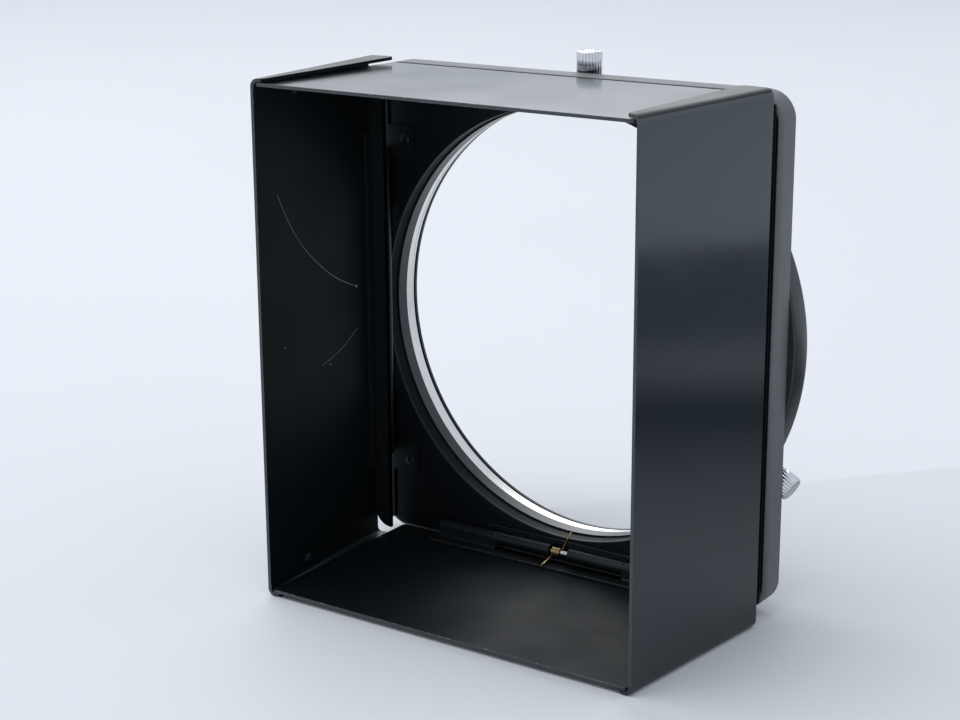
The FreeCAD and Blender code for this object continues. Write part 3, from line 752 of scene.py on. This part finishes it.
def knurled_ring(height, radius, depth):
    """One level of the knurled head: rounded ridges with narrow valleys."""
    ring = []
    for i in range(SCREW_STEPS):
        a = 2 * math.pi * i / SCREW_STEPS
        valley = abs(math.cos(KNURLS * a / 2)) ** 6
        r = radius - depth * valley
        ring.append((r * math.cos(a), r * math.sin(a), height))
    return ring


def thread_rings(low, high):
    """Levels of a right-handed thread of V form, which fades out at both ends."""
    rings = []
    count = int(round((high - low) / 0.05))
    for level in range(count + 1):
        height = low + (high - low) * level / count
        fade = min(1.0, level / 5, (count - level) / 5)
        ring = []
        for i in range(SCREW_STEPS):
            a = 2 * math.pi * i / SCREW_STEPS
            phase = (height / THREAD_PITCH - i / SCREW_STEPS) % 1.0
            r = THREAD_CREST - THREAD_DEPTH * fade * abs(2 * phase - 1)
            ring.append((r * math.cos(a), r * math.sin(a), height))
        rings.append(ring)
    return rings


def make_screw(place, number):
    """A knurled thumbscrew in one surface from its tip to the top of its head."""
    def plain(height, radius):
        return knurled_ring(height, radius, 0.0)

    rings = [plain(SHANK_LOW, 0.9)] + thread_rings(SHANK_LOW + 0.05, SHOULDER_LOW - 0.05)
    rings += [plain(SHOULDER_LOW, 1.25), plain(SHOULDER_LOW, SHOULDER_RADIUS - 0.1),
              plain(SHOULDER_LOW + 0.1, SHOULDER_RADIUS), plain(HEAD_LOW, SHOULDER_RADIUS),
              plain(HEAD_LOW, 1.95), knurled_ring(HEAD_LOW + 0.1, 2.1, 0.08),
              knurled_ring(HEAD_LOW + 0.32, HEAD_RADIUS, KNURL_DEPTH),
              knurled_ring(HEAD_TOP - 0.35, HEAD_RADIUS, KNURL_DEPTH),
              knurled_ring(HEAD_TOP - 0.15, 2.14, 0.1),
              plain(HEAD_TOP - 0.05, 2.0), plain(HEAD_TOP, 1.9), plain(HEAD_TOP - 0.02, 1.2),
              plain(HEAD_TOP - 0.05, 0.5), plain(HEAD_TOP - 0.05, 0.12)]
    turn = Matrix.Rotation(math.radians(SCREW_STEP * number), 4, "Y")
    make_piece("thumb_screw_%s_knurled" % place, "screw_" + place, [loft(rings)], [CHROME], turn,
               ["thumb_screw_" + place], sharp=50.0)
    foot = solid_of_turn([(0, FOOT_LOW), (FOOT_RADIUS - 0.15, FOOT_LOW),
                          (FOOT_RADIUS, FOOT_LOW + 0.1), (FOOT_RADIUS, FOOT_HIGH - 0.1),
                          (FOOT_RADIUS - 0.1, FOOT_HIGH), (0, FOOT_HIGH)], 64)
    make_piece("screw_foot_%s_disc" % place, "foot_" + place, [foot], [BRASS], turn,
               ["screw_foot_" + place])


# ---------------------------------------------------------------- hinges

def thick_line(points, thickness):
    """The outline of a line of 2-D points given a thickness."""
    line = [Vector(p) for p in points]
    left, right = [], []
    for i, point in enumerate(line):
        run = (line[min(i + 1, len(line) - 1)] - line[max(i - 1, 0)]).normalized()
        normal = Vector((-run.y, run.x)) * thickness / 2
        left.append(tuple(point + normal))
        right.append(tuple(point - normal))
    return left + right[::-1]


def rolled(path, ranges):
    """Strips of leaf whose section in the plane across the pin follows the path."""
    outline = thick_line(path, LEAF)
    parts = []
    for low, high in ranges:
        rings = [[(x, y, z) for y, z in outline] for x in (low, high)]
        parts.append(strip_loft(rings))
    return parts


def both_sides(span):
    """A stretch along the pin, and the same one on the other side of the middle."""
    low, high = span
    return [(low, high), (-high, -low)]


def make_flap_hinge(side):
    """The butt hinge of the top or bottom wall: two leaves rolled round a pin."""
    fixed = hinge_frame(side + "_wall_fold", TURN[side])
    moving = hinge_frame(side + "_wall_fold", TURN[side], FLAP_TILT)
    middle = KNUCKLE - LEAF / 2
    top = FLAP_RISE - LEAF / 2

    roll = [(-3.0, top), (-middle - 0.6, top)]
    roll += arc((-middle - 0.6, top - 0.6), 0.6, 90, 0, 6)[1:]
    roll += arc((0, 0), middle, 180, 505, 40)
    parts = rolled(roll, both_sides(FLAP_MOVING_KNUCKLE))
    outline = rounded_rectangle((-FLAP_LEAF_HALF, -FLAP_LEAF_END),
                                (FLAP_LEAF_HALF, -FLAP_LEAF_START), 0.4)
    parts.append(prism(outline, FLAP_RISE - LEAF, FLAP_RISE - FILM, "Z"))
    make_piece(side + "_hinge_moving_leaf", side + "_wall", parts, [ENAMEL_LEAF], moving,
               [side + "_hinge_wall_leaf"], bevel=0.05, edge_material=EDGE)

    strip = [(1.02, -2.1), (1.02, -1.5), (1.0, -0.8), (middle, -0.3)]
    strip += arc((0, 0), middle, 0, 330, 40)
    parts = rolled(strip, both_sides(FLAP_FIXED_KNUCKLE))
    outline = rounded_rectangle((-17.0, -2.1), (17.0, -1.35), 0.2)
    parts.append(prism(outline, FLAP_PIN_TO_PLATE - LEAF, FLAP_PIN_TO_PLATE - FILM, "Y"))
    make_piece(side + "_hinge_fixed_leaf", "base", parts, [ENAMEL_LEAF], fixed,
               [side + "_hinge_plate_leaf"], bevel=0.05, edge_material=EDGE)
    make_pin(side, fixed, FLAP_PIN_HALF)


def make_side_hinge(side):
    """The hinge of a side wall. Its moving leaf has a cheek across the wall's rear end, and its
    fixed leaf is a long strip with two riveted tabs."""
    fixed = hinge_frame(side + "_wall_swing", TURN[side])
    moving = hinge_frame(side + "_wall_swing", TURN[side], SIDE_TOE_IN)
    middle = SIDE_KNUCKLE - LEAF / 2

    roll = smooth_path([(-1.3, 1.5), (-1.12, 0.9), (-0.86, 0.3)], 4)[:-1]
    roll = [tuple(p) for p in roll] + arc((0, 0), middle, 180, 505, 40)
    parts = rolled(roll, both_sides(SIDE_MOVING_KNUCKLE))
    cheek = [(CHEEK_HALF - 0.3, CHEEK_LOW), (CHEEK_HALF, CHEEK_LOW + 0.3)]
    cheek += arc((CHEEK_HALF - CHEEK_CORNER, SIDE_WALL_RISE - CHEEK_CORNER), CHEEK_CORNER,
                 0, 90, 12)
    cheek += [(-x, z) for x, z in reversed(cheek)]
    parts.append(prism(cheek, -SIDE_WALL_START - LEAF, -SIDE_WALL_START, "Y"))
    flat = rounded_rectangle((-33.0, -3.6), (33.0, -SIDE_WALL_START - LEAF / 2), 0.2)
    parts.append(prism(flat, SIDE_WALL_RISE - LEAF, SIDE_WALL_RISE - FILM, "Z"))
    make_piece(side + "_hinge_moving_leaf", side + "_wall", parts, [ENAMEL_LEAF], moving,
               [side + "_hinge_wall_leaf"], bevel=0.05, edge_material=EDGE)

    strip = smooth_path([(1.775, 1.5), (1.7, 1.0), (1.25, 0.6), (0.9, 0.35)], 4)[:-1]
    strip = [tuple(p) for p in strip] + arc((0, 0), middle, 0, -325, 40)
    parts = rolled(strip, both_sides(SIDE_FIXED_KNUCKLE) + [SIDE_MIDDLE_KNUCKLE])
    plate = [(-44.2, 1.4), (-44.2, 0.4), (-44.0, 0.2)] + arc((-34.4, -0.2), 0.4, 90, 0, 5)
    plate += arc((-33.4, -5.0), 0.6, 180, 270, 5)
    plate += arc((-28.6, -5.0), 0.6, 270, 360, 5) + arc((-27.6, -0.2), 0.4, 180, 90, 5)
    plate += [(-x, z) for x, z in reversed(plate)] + [(43.9, 1.7), (-43.9, 1.7)]
    parts.append(prism(plate, SIDE_PIN_TO_PLATE - LEAF, SIDE_PIN_TO_PLATE - FILM, "Y"))
    make_piece(side + "_hinge_fixed_leaf", "base", parts, [ENAMEL_LEAF], fixed,
               [side + "_hinge_plate_leaf"], bevel=0.05, edge_material=EDGE)
    make_pin(side, fixed, SIDE_PIN_HALF)
    make_rivets(side, fixed)
    make_studs(side, moving)


def make_wear(place):
    """Rubbed marks on the inside of the left wall, left by the corners of the folding walls."""
    long_arc = [(26.0, -31.8), (19.8, -28.1), (14.6, -23.6), (9.6, -17.4), (6.7, -12.5),
                (4.6, -7.6)]
    short_arc = [(-8.1, -19.2), (-6.7, -13.1), (-3.8, -7.1)]
    parts = []
    for line, width in ((long_arc, 0.07), (short_arc, 0.045)):
        path = [(x, y, SIDE_WALL_RISE + 0.3 * width) for x, y in smooth_path(line, 10)]
        parts.append(tube(path, width, 8))
    for x, y, radius in ((4.4, -7.1, 0.3), (-2.0, -31.0, 0.14), (-8.6, -16.5, 0.14)):
        verts, faces = dome(0, 0, 0, 0.07, radius, 1)
        parts.append(([(vx + x, vz + y, SIDE_WALL_RISE - vy) for vx, vy, vz in verts], faces))
    make_piece("left_wall_wear", "left_wall", parts, [RUBBED], place)


def make_pin(side, place, half):
    """A hinge wire with rounded ends."""
    profile = [(0, -half), (0.2, -half + 0.01), (0.38, -half + 0.07), (0.48, -half + 0.18),
               (0.5, -half + 0.3), (0.5, half - 0.3), (0.48, half - 0.18), (0.38, half - 0.07),
               (0.2, half - 0.01), (0, half)]
    make_piece(side + "_hinge_pin_wire", "base", [solid_of_turn(profile, 24, "X")], [STEEL], place,
               [side + "_hinge_pin"], sharp=40.0)


def dome(x, z, base, height, radius, way):
    """A low round head about Y, standing on the plane y = base."""
    sunk, step = 0.02, 0.05
    profile = [(0, base - way * sunk)]
    profile += [(radius, base - way * sunk), (radius, base + way * step)]
    profile += [(radius * math.cos(a), base + way * (step + (height - step) * math.sin(a)))
                for a in (math.radians(d) for d in range(15, 90, 15))]
    profile.append((0, base + way * height))
    verts, faces = solid_of_turn(profile, 40, "Y")
    return [(vx + x, vy, vz + z) for vx, vy, vz in verts], faces


def make_rivets(side, place):
    """Two rivets through the fixed leaf and the plate, each with a head on both sides."""
    parts = []
    for x in (RIVET_PLACE, -RIVET_PLACE):
        for base, way in ((SIDE_PIN_TO_PLATE - LEAF, -1), (SIDE_PIN_TO_PLATE + SHEET, 1)):
            parts.append(dome(x, -RIVET_DROP, base, RIVET_HEIGHT, RIVET_RADIUS, way))
    make_piece(side + "_hinge_rivet_heads", "base", parts, [ENAMEL_LEAF], place,
               [side + "_hinge_rivets"])


def make_studs(side, place):
    """Two low studs on the inside of a side wall, for the corners of the folding walls."""
    parts = []
    for x in (STUD_PLACE, -STUD_PLACE):
        verts, faces = dome(0, 0, 0, STUD_HEIGHT, STUD_RADIUS, 1)
        parts.append(([(vx + x, vz - STUD_FORWARD, SIDE_WALL_RISE - vy) for vx, vy, vz in verts],
                      faces))
    make_piece(side + "_wall_stud_heads", side + "_wall", parts, [ENAMEL_LEAF], place,
               [side + "_wall_studs"])


def make_spring(side):
    """The coil and its plate leg stay on the base. The wall leg turns with the wall."""
    wire, coil = 0.172, 0.74
    right, width = 1.66, 1.9
    start, end = 90.0, -52.5 - 5 * 360.0
    steps = 220
    path = []
    for i in range(steps + 1):
        a = math.radians(start + (end - start) * i / steps)
        path.append((right - width * i / steps, coil * math.cos(a), coil * math.sin(a)))
    path += [(-0.42, 0.5, -0.95), (-1.1, 0.64, -2.4), (-1.9, 0.8, -4.1)]
    fixed = hinge_frame(side + "_wall_fold", TURN[side])
    make_piece(side + "_hinge_spring_coil", "base", [tube(path, wire, 14)], [SPRING], fixed,
               [side + "_hinge_spring"], sharp=60.0)
    leg = [(right, y, z) for y, z in ((0.05, coil), (-0.4, 0.82), (-2.2, 1.30), (-3.9, 1.66))]
    make_piece(side + "_hinge_spring_leg", side + "_wall", [tube(leg, wire, 14)], [SPRING],
               fixed, sharp=60.0)


make_back_plate()
make_clamp_ring()
make_spring_band()
for screw_number, screw_place in enumerate(SCREWS):
    make_screw(screw_place, screw_number)
for one_side in ("left", "right"):
    make_side_wall(one_side)
    make_side_hinge(one_side)
make_wear(hinge_frame("left_wall_swing", TURN["left"], SIDE_TOE_IN))
for one_side in ("top", "bottom"):
    make_flap(one_side)
    make_flap_hinge(one_side)
    make_spring(one_side)


# ---------------------------------------------------------------- studio

def make_stage():
    """A pale table top that curves up into the backdrop."""
    low = cad_low.z
    depth, width, radius, height = 2.2, 4.0, 0.8, 2.2
    line = [(-depth, low)]
    line += [(depth - radius + radius * math.sin(math.radians(a)),
              low + radius - radius * math.cos(math.radians(a))) for a in range(0, 91, 6)]
    line.append((depth, low + height))
    verts = [(x, y, z) for x in (-width, width) for y, z in line]
    count = len(line)
    faces = [(i, i + 1, count + i + 1, count + i) for i in range(count - 1)]
    mesh = bpy.data.meshes.new("backdrop")
    mesh.from_pydata(verts, [], faces)
    mesh.shade_smooth()
    floor = bpy.data.objects.new("backdrop", mesh)
    floor.matrix_world = Matrix.Rotation(math.radians(CAMERA_AZIMUTH), 4, "Z")
    bpy.context.scene.collection.objects.link(floor)
    shader = Shader("backdrop")
    shader.set(Base_Color=(0.68, 0.70, 0.725, 1.0))
    shader.roughness(shader.ramp(shader.noise(3.0), 0.3, 0.7, 0.55, 0.65))
    mesh.materials.append(shader.material)


def area_light(name, place, aim, size, power, mirrored_only=False):
    """A rectangular lamp. One that is mirrored only gives highlights but no diffuse light."""
    light = bpy.data.lights.new(name, "AREA")
    light.shape = "RECTANGLE"
    light.size, light.size_y = size
    light.energy = power
    lamp = bpy.data.objects.new(name, light)
    lamp.visible_diffuse = not mirrored_only
    bpy.context.scene.collection.objects.link(lamp)
    direction = Vector(aim) - Vector(place)
    lamp.matrix_world = (Matrix.Translation(place)
                         @ direction.to_track_quat("-Z", "Y").to_matrix().to_4x4())


def make_world():
    """Even pale light from all round."""
    world = bpy.data.worlds.new("studio")
    bpy.context.scene.world = world
    world.use_nodes = True
    background = world.node_tree.nodes["Background"]
    background.inputs["Color"].default_value = (0.80, 0.85, 0.93, 1.0)
    background.inputs["Strength"].default_value = 0.82


def make_painted_reflection_card():
    """A dark card on the table, beside the camera's view, seen only in glossy reflections: a
    painted reflection of darker table, partly the hood's own shade, for the right wall to mirror.
    It is lighter at its near end and in a band across its middle."""
    near, far, corner = (-15.0, -190.0), (380.0, 30.0), 20.0
    mesh = bpy.data.meshes.new("painted_reflection_card")
    verts, faces = prism(rounded_rectangle(near, far, corner), 0.1, 0.3, "Z")
    mesh.from_pydata([tuple(MM * c for c in v) for v in verts], [], faces)
    painted_reflection_card = bpy.data.objects.new("painted_reflection_card", mesh)
    bpy.context.scene.collection.objects.link(painted_reflection_card)
    painted_reflection_card.matrix_world = (Matrix.Translation((0.0, 0.0, cad_low.z))
                         @ Matrix.Rotation(math.radians(50.0), 4, "Z"))
    shader = Shader("painted_reflection_card")
    across = shader.node("ShaderNodeSeparateXYZ")
    shader.link(shader.place(), across.inputs["Vector"])
    tone = (0.44, 0.45, 0.46)
    for start, end, following in [(0.03, 0.14, (0.02, 0.03, 0.04)),
                                  (0.15, 0.185, (0.30, 0.31, 0.32)),
                                  (0.20, 0.235, (0.13, 0.15, 0.17))]:
        tone = shader.mix(shader.ramp(across.outputs["X"], start, end), tone, following)
    shader.colour(tone)
    shader.roughness(shader.ramp(shader.noise(20.0), 0.3, 0.7, 0.7, 0.9))
    mesh.materials.append(shader.material)
    # Hidden from the camera, shadows and diffuse light: the card is a painted reflection only.
    painted_reflection_card.visible_camera = False
    painted_reflection_card.visible_shadow = False
    painted_reflection_card.visible_diffuse = False


make_stage()
make_painted_reflection_card()
make_world()
area_light("overhead", place=(-0.5, -0.2, 1.4), aim=(0, 0, 0), size=(1.6, 1.6), power=15.0)
area_light("rear_window", place=(-1.05, 1.5, 0.85), aim=(0, 0, 0.05), size=(2.2, 1.1),
           power=12.0, mirrored_only=True)

view_settings = bpy.context.scene.view_settings
view_settings.view_transform = "Standard"
view_settings.look = "None"
